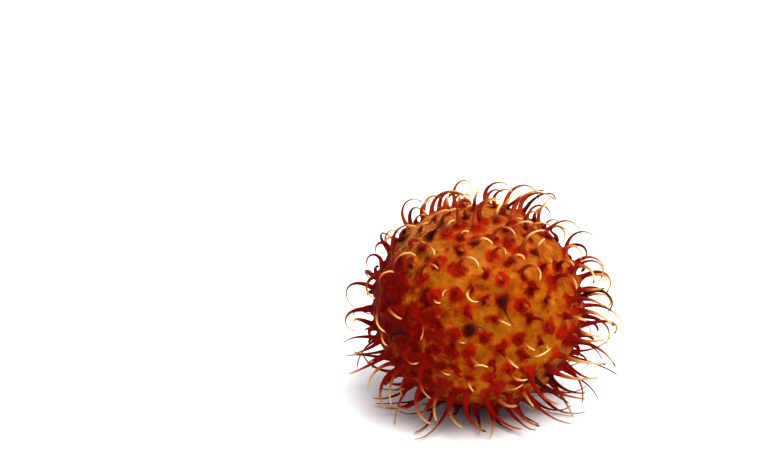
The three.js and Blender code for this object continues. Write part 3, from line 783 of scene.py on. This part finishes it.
def grow_cover(skin, site, loop, profile):
    """The skin inside a loop without a spine. Its profile gives height, woodiness, the relief for painted
    shade and light, and redness.
    """
    east = site.orthogonal().normalized()
    direction_at = around(site, east)
    lower = [index for index, _ in loop]
    for ring in range(1, COVER_RINGS):
        upper = []
        for _, edge in loop:
            angle = edge.angle(site) * (1 - ring / COVER_RINGS)
            direction = direction_at(angle, turn_of(edge, site, east))
            height, woody, relief_shade, red = profile(angle * HALF.x, ground_place(direction))
            look = cover_look(direction, woody, relief_shade, red * min(COVER_RED_RISE * ring / COVER_RINGS, 1))
            upper.append(skin.add(ground_place(direction, height), **look))
        skin.band(lower, upper)
        lower = upper
    height, woody, relief_shade, red = profile(0, ground_place(site))
    skin.close(lower, skin.add(ground_place(site, height), **cover_look(site, woody, relief_shade, red)))


def rest_profile(distance, _):
    """The crushed spine root under the fruit, which the floor cuts flat."""
    return REST_ROOT_DEPTH * smooth(*REST_ROOT_EDGE, distance), 0, 0, smooth(*REST_RED, distance)


def hump(distance, middle, width):
    """A round rise of height 1 about a distance."""
    return exp(-(((distance - middle) / width) ** 2))


def scar_profile(distance, place):
    """A corky disc in a groove, with a raised rim and torn fibres in the middle."""
    disc_height, rim_height, pip_height, collar_height = SCAR_HEIGHTS
    distance *= 1 + unevenness(place, SCAR_RAGGED)
    rim = hump(distance, *SCAR_RIM) * (1 + unevenness(place, SCAR_RIM_VARIES))
    collar = hump(distance, *SCAR_COLLAR) * (1 + unevenness(place, SCAR_COLLAR_VARIES))
    disc = smooth(*SCAR_EDGE, distance)
    pip = pip_height * hump(distance, *SCAR_PIP)
    height = disc * (disc_height + rim_height * rim + pip + unevenness(place, SCAR_FIBRES))
    red = SCAR_REDNESS * smooth(*SCAR_RED, distance)
    # The cork gets painted shade where the scar is low and painted light where it is high.
    return height + collar_height * collar, disc, smooth(*SCAR_RELIEF_SHADE, height), red


def twin_profile(distance, place):
    """A shrivelled knob: the fruit's second chamber, which never grew."""
    wrinkles = unevenness(place, TWIN_WRINKLES)
    distance *= 1 + unevenness(place, TWIN_RAGGED)
    dome = sqrt(max(1 - (distance / TWIN_RADIUS) ** 2, 0))
    # Painted shade in the wrinkles' hollows and painted light on their tops.
    relief_shade = smooth(*TWIN_RELIEF_SHADE, wrinkles) * smooth(*TWIN_TOP, distance)
    red = TWIN_REDNESS * smooth(*TWIN_RED, distance)
    return dome * (TWIN_RADIUS + wrinkles), smooth(*TWIN_EDGE, distance), relief_shade, red


def make_fruit():
    """The whole fruit as one skin, with a spine or a cover in each loop of ground."""
    skin = Skin()
    spines = make_spines()
    covers = [(DOWN, rest_profile), (STALK, scar_profile), (TWIN, twin_profile)]
    loops = ground_loops([spine.site for spine in spines] + [site for site, _ in covers], skin)
    for spine, loop in zip(spines, loops):
        grow_spine(skin, spine, loop)
    for (site, profile), loop in zip(covers, loops[len(spines):]):
        grow_cover(skin, site, loop, profile)
    return skin.build("fruit")


# ---- materials


def srgb(red, green, blue):
    """A colour given in 0 to 255 numbers, as the linear colour that Blender reads."""
    linear = []
    for value in (red, green, blue):
        share = value / 255
        linear.append(share / 12.92 if share <= 0.04045 else ((share + 0.055) / 1.055) ** 2.4)
    return (*linear, 1)


# The rind from its hollows to its bumps, ripe and on the red side: darker in the hollows as painted shade and
# paler on the bumps as painted light. The red side is partly painted shade.
RIND_COLOURS = [(0.22, 102, 31, 1), (0.42, 135, 58, 2), (0.58, 152, 76, 5), (0.8, 175, 103, 22)]
RED_AND_SHADED_SIDE_COLOURS = [(0.3, 58, 1, 0), (0.55, 104, 2, 0), (0.78, 136, 18, 2)]
GREENER_RIND = srgb(144, 90, 8)
PALER_RIND = srgb(158, 88, 36)
SCUFFED_RIND = srgb(186, 116, 58)

# The blotch round a spine, by the spine's tint, and its halo.
BLOTCH_COLOURS = [(0.0, 62, 3, 1), (0.3, 104, 4, 1), (0.6, 136, 10, 1), (0.85, 150, 18, 2), (1.0, 80, 4, 1)]
DARKER_IN_BLOTCH = srgb(92, 5, 1)
BLOTCH_ON_RED_AND_SHADED_SIDE = srgb(66, 2, 1)
RED_AND_SHADED_SIDE_SHARE = 0.55  # of that colour there, which is partly painted shade
HALO = srgb(150, 42, 2)
HALO_ON_RED_AND_SHADED_SIDE = srgb(104, 6, 1)

# The spines from root to tip, and what changes them.
SPINE_COLOURS = [
    (0.0, 108, 6, 1), (0.22, 98, 5, 1), (0.4, 106, 18, 4), (0.56, 158, 76, 28), (0.72, 206, 152, 82),
    (0.9, 224, 182, 106),
]
# The pink of the high spines' roots: partly their own colour, partly a painted highlight.
HIGH_ROOT_AND_HIGHLIGHT = srgb(186, 74, 34)
LOW_ROOT = srgb(134, 9, 3)
LOW_TIP_SHADE = srgb(204, 195, 206)
DRIED_SPINE = srgb(40, 9, 4)
BROWN_TIP = srgb(60, 24, 12)

# The cork from its hollows to its bumps, and how much of that range its relief gives as painted shade and
# light.
CORK_COLOURS = [(0.0, 26, 12, 5), (0.3, 60, 34, 14), (0.6, 112, 76, 38), (0.85, 170, 134, 84)]
CORK_RELIEF_SHADE = 0.7

# Where a look starts and where it is full, in metres.
PALER_RIND_Z = (0.028, 0.038)
HIGH_SPINE_Z = (0.03, 0.04)
LOW_SPINE_Z = (0.016, 0.008)
# The deep red underneath is painted shade. On the left it is partly the skin's own red and partly painted
# shade.
SHADED_BELOW_Z = (0.009, 0.0045)
RED_AND_SHADED_LEFT_X = (-0.0025, -0.009)
UPRIGHT_Z = 0.021  # the edge of the red and shaded side leans to the left above this
EDGE_LEAN = 0.5  # how far, for each metre further up
SCUFF_PLACE = (-0.0105, -0.001, 0.0345)
SCUFF_REACH = (0.009, 0.004)  # from its middle
RED_AND_SHADED_LEFT_STRAYS = (0.014, 0.008)  # how far that edge strays by the large and the middle noise
SHADED_BELOW_STRAYS = 0.006
SCUFF_STRAYS = 0.008

# The same as a share of the spine's length.
SHAFT_START = (0.03, 0.14)
SHAFT_SHINE = (0.03, 0.2)
HIGH_ROOT_END = (0.7, 0.1)
LOW_ROOT_END = (0.5, 0.15, 0.0, 0.5)
LOW_TIP_START = (0.45, 0.65)
BROWN_TIP_START = (0.86, 0.96)

# The same on a noise, or on another value from 0 to 1, and the look's strength at both ends.
GREENER = (0.45, 0.7, 0.0, 0.5)
PALER = (0.35, 0.65, 0.15, 0.6)
LESS_RED = (0.52, 0.7, 0.0, -0.22)
HALO_EDGE = (0.22, 0.46, 0.0, 0.7)
BLOTCH_EDGE = (0.34, 0.7, 0.0, 0.95)
DARKER = (0.5, 0.65)
FLECKS = (0.66, 0.74, 0.0, 0.7)
SPECKLES = (0.42, 0.62, 0.05, 0.75)
DRIED_EDGE = (0.1, 0.8, 0.0, 0.92)
BROWN_TIPPED = (0.74, 0.78)

# How far a value strays by what its name ends in.
# The swell paints shade in the rind's hollows and light on its bumps.
MOTTLE_SHADE_BY_SWELL = 0.4
MOTTLE_BY_FINE = 0.1
EDGE_BY_BLOTCH = 1.5
EDGE_BY_FINE = 0.2
EDGE_BY_TINT = 0.3
RIPE_BY_TINT = 0.4
RIPE_BY_RED_AND_SHADED_SIDE = -0.12
RIPE_BY_LOWNESS = -0.08
DRIED_BY_BLOTCH = 0.8
DRIED_BY_FINE = 0.3
GRAIN_BY_CORK = 0.9
ROUGHNESS_BY_FINE = 0.2

# Noises: waves to the metre, layers of detail, and roughness.
NOISES = {
    "large": (120, 3, 0.6),
    "blotch": (340, 3, 0.5),
    "middle": (480, 5, 0.65),
    "wrinkle": (700, 4, 0.6),
    "fleck": (800, 1, 0.4),
    "cork": (1300, 4, 0.5),
    "fine": (1500, 4, 0.6),
    "speckle": (1800, 4, 0.7),
    "pore": (2400, 2, 0.5),
}

# The skin's gloss and glow, and how strong and how high its bumps are.
ROUGHNESS = 0.75
SHAFT_ROUGHNESS = -0.35  # how much smoother the spines are
SPECULAR = 0.015
SUBSURFACE = 0.06
SUBSURFACE_RADIUS = (1.0, 0.25, 0.06)
SUBSURFACE_SCALE = 0.0008
PORES = (0.3, 0.0001)
WRINKLES = (0.5, 0.0003)


class Nodes:
    """A material, and short names for the shader nodes that it uses."""

    def __init__(self, name):
        self.material = bpy.data.materials.new(name)
        self.material.use_nodes = True
        self.tree = self.material.node_tree

    def feed(self, node, inputs):
        """Links other nodes' outputs to a node's sockets, or sets these to numbers and colours."""
        for socket, value in inputs.items():
            if isinstance(value, bpy.types.NodeSocket):
                self.tree.links.new(value, node.inputs[socket])
            else:
                node.inputs[socket].default_value = value

    def make(self, kind, inputs, **settings):
        node = self.tree.nodes.new("ShaderNode" + kind)
        for name, value in settings.items():
            setattr(node, name, value)
        self.feed(node, inputs)
        return node

    def surface(self, inputs):
        """The material, once its surface is fed."""
        self.feed(self.tree.nodes["Principled BSDF"], inputs)
        return self.material

    def value(self, name):
        """What the mesh says of each point under a name."""
        return self.make("Attribute", {}, attribute_name=name).outputs["Fac"]

    def place(self):
        return self.make("TexCoord", {}).outputs["Object"]

    def across_and_up(self):
        """A point's X and Z."""
        outputs = self.make("SeparateXYZ", {0: self.place()}).outputs
        return outputs[0], outputs[2]

    def math(self, operation, a, b=0.0):
        return self.make("Math", {0: a, 1: b}, operation=operation).outputs[0]

    def distance(self, a, b):
        return self.make("VectorMath", {0: a, 1: b}, operation="DISTANCE").outputs["Value"]

    def add(self, *values):
        total = values[0]
        for value in values[1:]:
            total = self.math("ADD", total, value)
        return total

    def times(self, a, b):
        return self.math("MULTIPLY", a, b)

    def wobble(self, value, size):
        """A value from 0 to 1 as one from minus half the size to plus half."""
        return self.times(self.math("SUBTRACT", value, 0.5), size)

    def reshuffled(self, value, turns):
        """A value from 0 to 1 as another that hardly depends on it."""
        return self.math("FRACT", self.times(value, turns))

    def noise(self, name):
        scale, detail, roughness = NOISES[name]
        inputs = {"Vector": self.place(), "Scale": scale, "Detail": detail, "Roughness": roughness}
        return self.make("TexNoise", inputs).outputs["Fac"]

    def spread(self, value, low, high, to_low=0.0, to_high=1.0):
        """Goes smoothly from to_low at low to to_high at high, and no further."""
        inputs = {"Value": value, "From Min": low, "From Max": high, "To Min": to_low, "To Max": to_high}
        return self.make("MapRange", inputs, interpolation_type="SMOOTHSTEP").outputs[0]

    def ramp(self, value, stops):
        node = self.make("ValToRGB", {0: value})
        elements = node.color_ramp.elements
        while len(elements) < len(stops):
            elements.new(0.5)
        for element, (position, *colour) in zip(elements, stops):
            element.position = position
            element.color = srgb(*colour)
        return node.outputs[0]

    def mix(self, share, a, b, blend="MIX"):
        """Two colours in one. The node's sockets for colours are 6, 7 and 2."""
        return self.make("Mix", {0: share, 6: a, 7: b}, data_type="RGBA", blend_type=blend).outputs[2]

    def bump(self, height, strength, distance, normal=None):
        inputs = {"Height": height, "Strength": strength, "Distance": distance}
        if normal:
            inputs["Normal"] = normal
        return self.make("Bump", inputs).outputs[0]


class SkinNodes(Nodes):
    """The fruit's material, from what its mesh says of each point, from places and from noise."""

    def __init__(self, name):
        super().__init__(name)
        self.near, self.along, self.tint, self.dried, self.woody, self.swell = map(self.value, Skin.VALUES)
        self.x, self.z = self.across_and_up()
        self.large, self.blotch = self.noise("large"), self.noise("blotch")
        self.middle, self.fine = self.noise("middle"), self.noise("fine")
        self.red_and_shaded_side = self.find_red_and_shaded_side()

    def find_red_and_shaded_side(self):
        """How far the skin is deep red: on the left partly its own red and partly painted shade, and
        underneath painted shade.
        """
        above = self.math("MAXIMUM", self.math("SUBTRACT", self.z, UPRIGHT_Z), 0.0)
        leaning = self.add(self.x, self.times(above, EDGE_LEAN))
        large, middle = RED_AND_SHADED_LEFT_STRAYS
        left = self.add(leaning, self.wobble(self.large, large), self.wobble(self.middle, middle))
        below = self.add(self.z, self.wobble(self.middle, SHADED_BELOW_STRAYS))
        return self.math("MAXIMUM", self.spread(left, *RED_AND_SHADED_LEFT_X), self.spread(below, *SHADED_BELOW_Z))


# The parts of the fruit's look, where m is its SkinNodes.


def rind_colour(m):
    """Ochre bumps and burnt orange hollows, partly painted light and shade, with greener, paler and deep red
    places, the deep red partly painted shade.
    """
    # The swell adds painted shade in the hollows and painted light on the bumps to the mottle.
    mottle_and_shade = m.add(m.middle, m.wobble(m.swell, MOTTLE_SHADE_BY_SWELL), m.wobble(m.fine, MOTTLE_BY_FINE))
    rind = m.ramp(mottle_and_shade, RIND_COLOURS)
    rind = m.mix(m.spread(m.large, *GREENER), rind, GREENER_RIND)
    paler = m.times(m.spread(m.z, *PALER_RIND_Z), m.spread(m.middle, *PALER))
    rind = m.mix(paler, rind, PALER_RIND)
    # Deep red on the left and underneath, partly painted shade.
    patchy_red_and_shade = m.add(m.red_and_shaded_side, m.spread(m.large, *LESS_RED))
    return m.mix(m.math("MAXIMUM", patchy_red_and_shade, 0.0), rind, m.ramp(mottle_and_shade, RED_AND_SHADED_SIDE_COLOURS))


def blotch_colour(m):
    """The red of a blotch, with darker places in it, and darker on the red side, partly as painted shade."""
    red = m.ramp(m.tint, BLOTCH_COLOURS)
    red = m.mix(m.spread(m.middle, *DARKER), red, DARKER_IN_BLOTCH)
    return m.mix(m.times(m.red_and_shaded_side, RED_AND_SHADED_SIDE_SHARE), red, BLOTCH_ON_RED_AND_SHADED_SIDE)


def ground_colour(m):
    """The rind with flecks, and with a blotch and its halo round each spine."""
    ragged = m.add(m.near, m.wobble(m.blotch, EDGE_BY_BLOTCH), m.wobble(m.fine, EDGE_BY_FINE))
    edge = m.add(ragged, m.wobble(m.tint, EDGE_BY_TINT))
    # The halo is darker on the left and underneath, partly as painted shade.
    halo = m.mix(m.red_and_shaded_side, HALO, HALO_ON_RED_AND_SHADED_SIDE)
    ground = m.mix(m.spread(edge, *HALO_EDGE), rind_colour(m), halo)
    red = blotch_colour(m)
    ground = m.mix(m.spread(edge, *BLOTCH_EDGE), ground, red)
    return m.mix(m.spread(m.noise("fleck"), *FLECKS), ground, red)


def scuffed(m, ground):
    """The ground with a speckled, paler place on its shoulder."""
    away = m.add(m.distance(m.place(), SCUFF_PLACE), m.wobble(m.middle, SCUFF_STRAYS))
    speckle = m.spread(m.noise("speckle"), *SPECKLES)
    return m.mix(m.times(m.spread(away, *SCUFF_REACH), speckle), ground, SCUFFED_RIND)


def shaft_colour(m):
    """Red, brown, then pale yellow. High spines have pink roots, partly a painted highlight. Low ones stay
    red for longer and have painted shade on their tips.
    """
    own = m.wobble(m.reshuffled(m.tint, 13.0), RIPE_BY_TINT)
    low = m.spread(m.z, *LOW_SPINE_Z)
    # Spines on the left and underneath stay red for longer, partly as painted shade.
    redder_and_shaded = m.times(m.red_and_shaded_side, RIPE_BY_RED_AND_SHADED_SIDE)
    ripened = m.add(m.along, own, redder_and_shaded, m.times(low, RIPE_BY_LOWNESS))
    shaft = m.ramp(ripened, SPINE_COLOURS)
    # High spines' roots are pinker: partly their own colour, partly a painted highlight.
    high_root_and_highlight = m.times(m.spread(m.z, *HIGH_SPINE_Z), m.spread(m.along, *HIGH_ROOT_END))
    shaft = m.mix(m.times(high_root_and_highlight, 0.5), shaft, HIGH_ROOT_AND_HIGHLIGHT)
    shaft = m.mix(m.times(low, m.spread(ripened, *LOW_ROOT_END)), shaft, LOW_ROOT)
    # Painted shade: the low spines' tips are darkened with a grey violet.
    shaded_tips = m.mix(1.0, shaft, LOW_TIP_SHADE, "MULTIPLY")
    return m.mix(m.times(low, m.spread(ripened, *LOW_TIP_START)), shaft, shaded_tips)


def withered(m, colour):
    """The same colour with dried spines nearly black, and some tips brown."""
    dried = m.add(m.dried, m.wobble(m.blotch, DRIED_BY_BLOTCH), m.wobble(m.fine, DRIED_BY_FINE))
    colour = m.mix(m.spread(dried, *DRIED_EDGE), colour, DRIED_SPINE)
    some = m.spread(m.reshuffled(m.tint, 7.0), *BROWN_TIPPED)
    return m.mix(m.times(m.spread(m.along, *BROWN_TIP_START), some), colour, BROWN_TIP)


def cork_colour(m):
    """The scar and the twin knob, with painted shade in their hollows and painted light on their bumps."""
    # The relief paints shade in the hollows and light on the bumps. The noise is the cork's own grain.
    grain_and_shade = m.add(m.times(m.swell, CORK_RELIEF_SHADE), m.wobble(m.noise("cork"), GRAIN_BY_CORK))
    return m.ramp(grain_and_shade, CORK_COLOURS)


def skin_material():
    m = SkinNodes("skin")
    colour = m.mix(m.spread(m.along, *SHAFT_START), scuffed(m, ground_colour(m)), shaft_colour(m))
    shine = m.times(m.spread(m.along, *SHAFT_SHINE), SHAFT_ROUGHNESS)
    return m.surface({
        "Base Color": m.mix(m.woody, withered(m, colour), cork_colour(m)),
        "Roughness": m.add(shine, m.wobble(m.fine, ROUGHNESS_BY_FINE), ROUGHNESS),
        "Specular IOR Level": SPECULAR,
        "Subsurface Weight": SUBSURFACE,
        "Subsurface Radius": SUBSURFACE_RADIUS,
        "Subsurface Scale": SUBSURFACE_SCALE,
        "Normal": m.bump(m.noise("wrinkle"), *WRINKLES, m.bump(m.noise("pore"), *PORES)),
    })


def floor_material():
    return Nodes("floor").surface({
        "Base Color": FLOOR_COLOUR, "Roughness": FLOOR_ROUGHNESS, "Specular IOR Level": FLOOR_SPECULAR,
    })


# ---- stage


def add_to_scene(name, data):
    """A new object in the scene."""
    thing = bpy.data.objects.new(name, data)
    bpy.context.scene.collection.objects.link(thing)
    return thing


def make_floor():
    corners = [(FLOOR_REACH * x, FLOOR_REACH * y, 0) for x, y in ((-1, -1), (1, -1), (1, 1), (-1, 1))]
    mesh = bpy.data.meshes.new("floor")
    mesh.from_pydata(corners, [], [(0, 1, 2, 3)])
    mesh.materials.append(floor_material())
    floor = add_to_scene("floor", mesh)


def make_lights():
    for name, (side, strength, breadth) in LIGHTS.items():
        sun = bpy.data.lights.new(name, "SUN")
        sun.energy = strength
        sun.angle = radians(breadth)
        lamp = add_to_scene(name, sun)
        lamp.location = side
        lamp.rotation_euler = (-Vector(side)).to_track_quat("-Z", "Y").to_euler()


def make_sky():
    world = bpy.data.worlds.new("studio")
    world.use_nodes = True
    sky = world.node_tree.nodes["Background"]
    sky.inputs["Color"].default_value = (1, 1, 1, 1)
    sky.inputs["Strength"].default_value = SKY_STRENGTH
    bpy.context.scene.world = world


def make_camera():
    """The photograph's view, with the rind's middle on FRUIT_PIXEL."""
    camera = bpy.data.cameras.new("camera")
    camera.sensor_width = SENSOR_WIDTH
    camera.lens = SENSOR_WIDTH * SIGHT_DISTANCE / (PHOTO_SIZE[0] / PIXELS_PER_MM)
    across = (FRUIT_PIXEL[0] - PHOTO_SIZE[0] / 2) / PIXELS_PER_MM
    below = (FRUIT_PIXEL[1] - PHOTO_SIZE[1] / 2) / PIXELS_PER_MM
    aim = RIND_CENTRE - Vector((across, 0, 0)) + SIGHT_UP * below
    holder = add_to_scene("camera", camera)
    holder.location = EYE * MM
    holder.rotation_euler = (aim - EYE).to_track_quat("-Z", "Y").to_euler()
    bpy.context.scene.camera = holder


make_camera()
make_floor()
make_lights()
make_sky()
bpy.context.scene.view_settings.view_transform = "Standard"

fruit = make_fruit()
fruit.data.materials.append(skin_material())
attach(fruit, "root")
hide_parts("rambutan")
